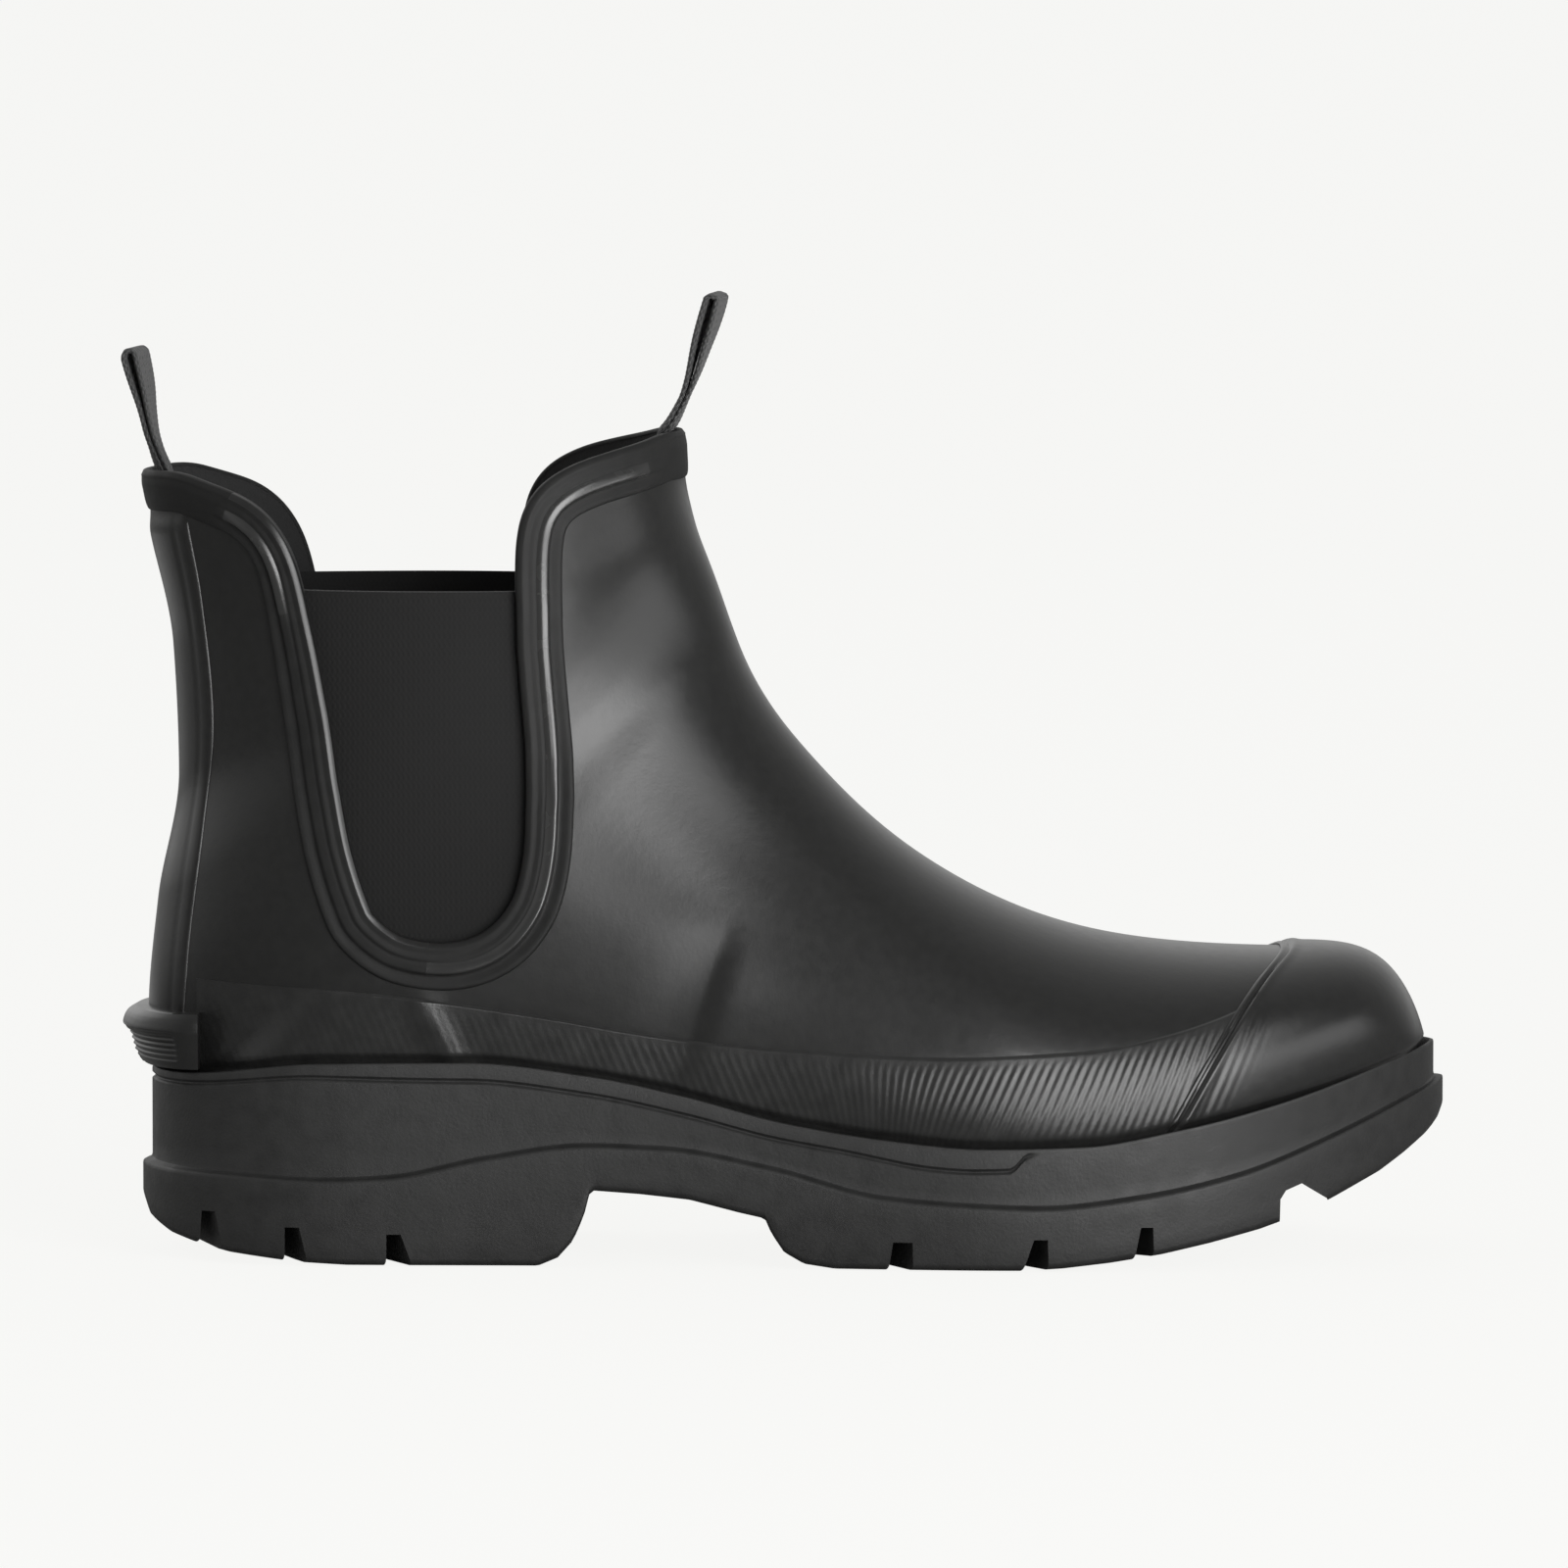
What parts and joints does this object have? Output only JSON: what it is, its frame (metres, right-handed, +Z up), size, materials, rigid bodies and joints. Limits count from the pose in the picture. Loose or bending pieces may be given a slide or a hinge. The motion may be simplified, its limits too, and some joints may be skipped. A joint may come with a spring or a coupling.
{
  "type": "rain boot",
  "caption": "Black rubber pull-on rain boot for the right foot, ankle high, with elastic side panels, toe cap, kick-off ledge at the heel, lugged sole and cloth pull loops.",
  "frame": {"origin": "on the ground under the middle of the boot's box", "axes": "+X towards the toe, +Y towards the inner side of the foot, +Z up"},
  "size_m": [0.3068, 0.11, 0.2218],
  "materials": {
    "boot_rubber": "satin",
    "sole_rubber": "matte",
    "elastic": "matte",
    "webbing": "matte",
    "foam": "matte"
  },
  "bodies": {
    "root": {"outsole": "sole_rubber", "insole": "foam", "upper": "boot_rubber", "toe_cap": "boot_rubber", "heel_stay": "boot_rubber", "heel_spur": "boot_rubber", "edge_binding": "boot_rubber", "gusset_outer": "elastic", "gusset_inner": "elastic", "pull_loop_front": "webbing", "pull_loop_back": "webbing"}
  },
  "joints": []
}
